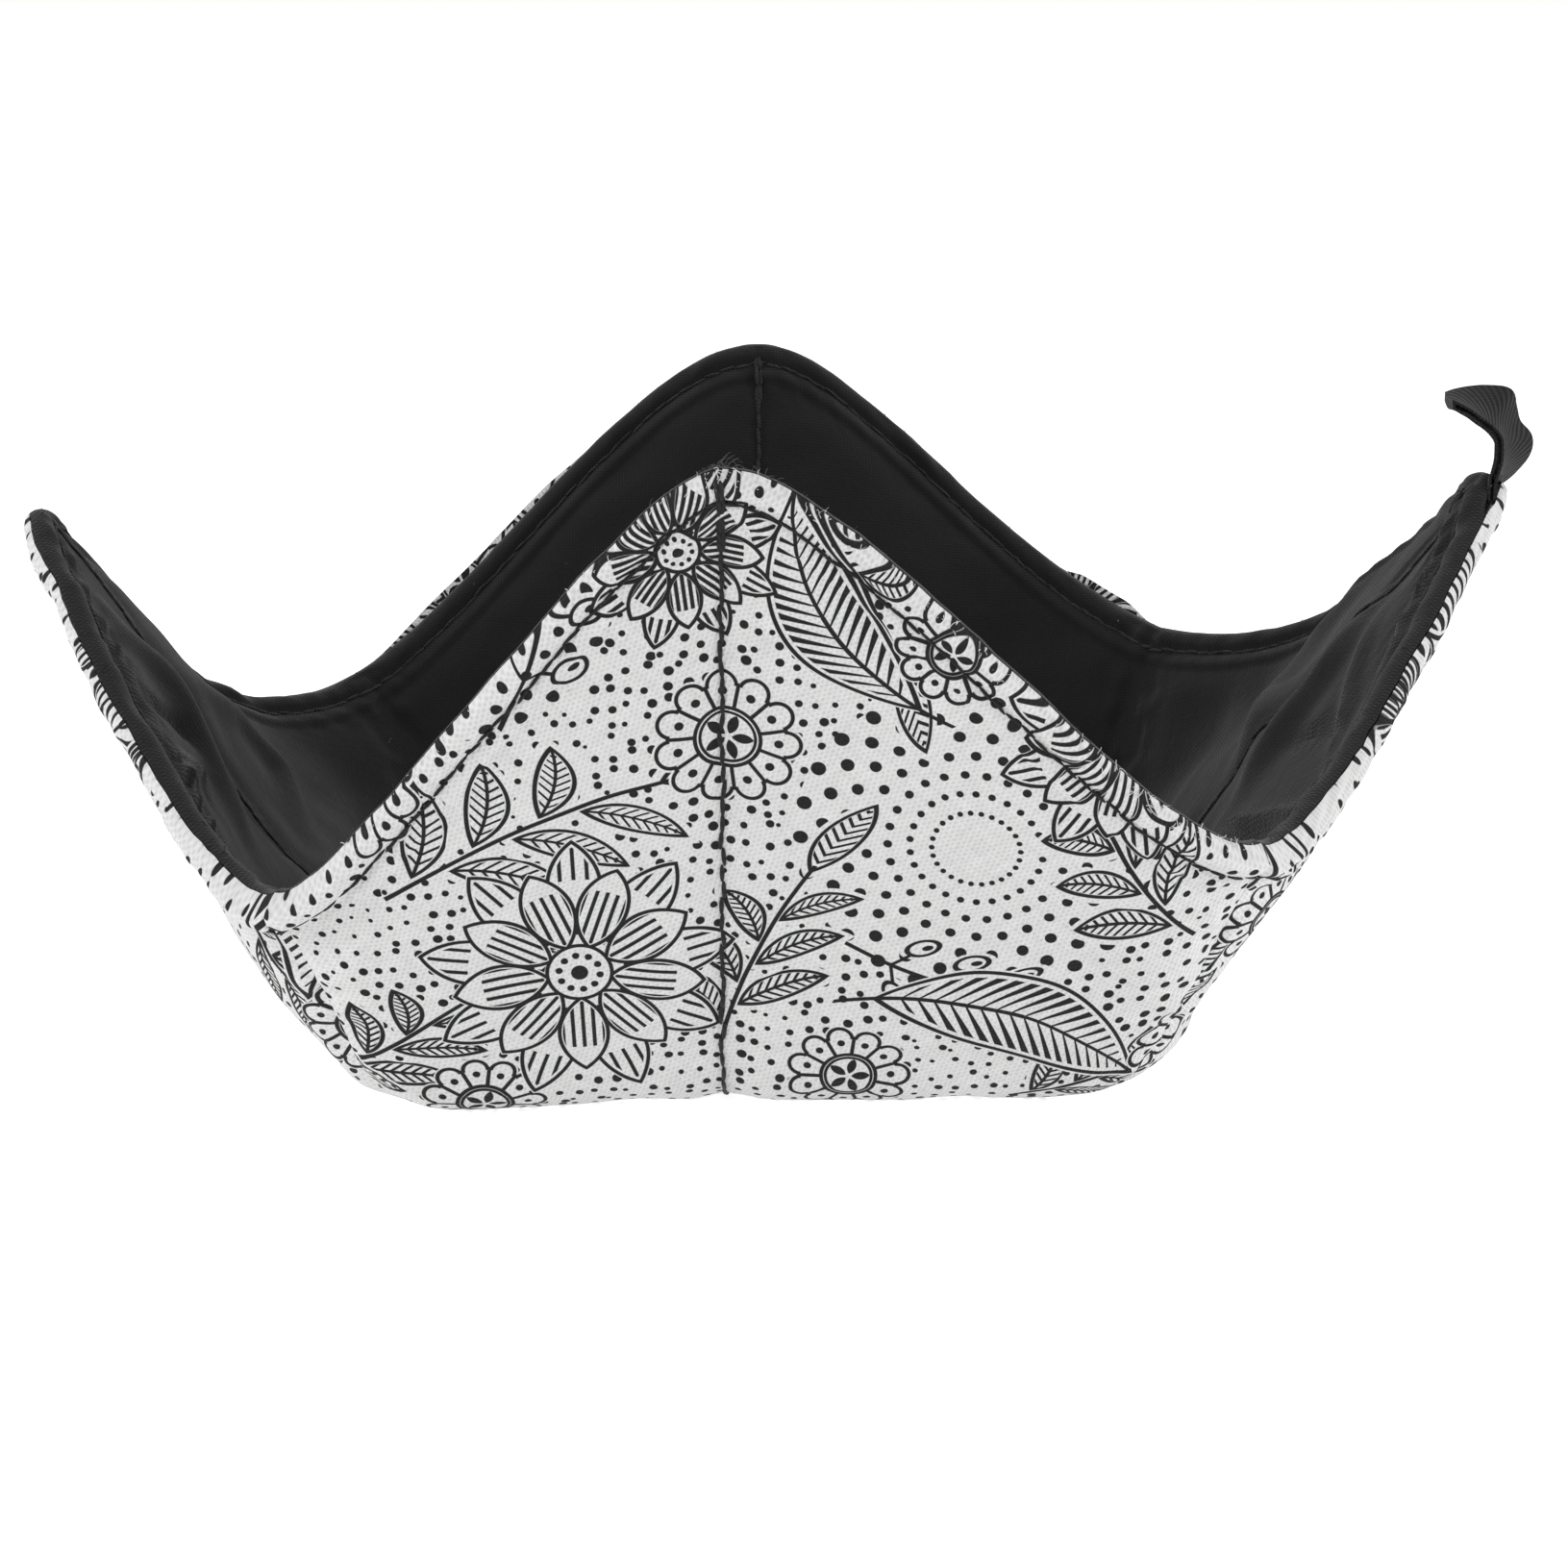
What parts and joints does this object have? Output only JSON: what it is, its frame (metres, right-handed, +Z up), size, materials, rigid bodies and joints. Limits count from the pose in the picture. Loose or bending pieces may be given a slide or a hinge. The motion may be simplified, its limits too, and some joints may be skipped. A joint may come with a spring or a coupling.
{
  "type": "bowl cozy",
  "caption": "Quilted fabric cozy for a hot bowl: a padded cloth square darted into a bowl with four standing peaks, a plain lining and a ribbon hanging loop.",
  "frame": {"origin": "on the table, under the middle of the cozy's overall outline", "axes": "+X towards the peak that carries the hanging loop, -Y towards the front peak, +Z up"},
  "size_m": [0.2417, 0.1907, 0.1025],
  "materials": {
    "printed_canvas": "plain-woven cotton canvas with a black line print",
    "cotton_batting": "needled cotton wadding",
    "black_cotton": "matt plain cotton",
    "black_ribbon": "twilled cotton tape",
    "black_thread": "spun sewing thread"
  },
  "bodies": {
    "root": {"outer_cover": "printed_canvas", "outer_batting": "cotton_batting", "lining_batting": "cotton_batting", "lining_cover": "black_cotton", "rim_topstitch_outer": "black_thread", "rim_topstitch_lining": "black_thread", "quilting_thread_outer": "black_thread", "quilting_thread_lining": "black_thread", "hanging_loop": "black_ribbon"}
  },
  "joints": []
}
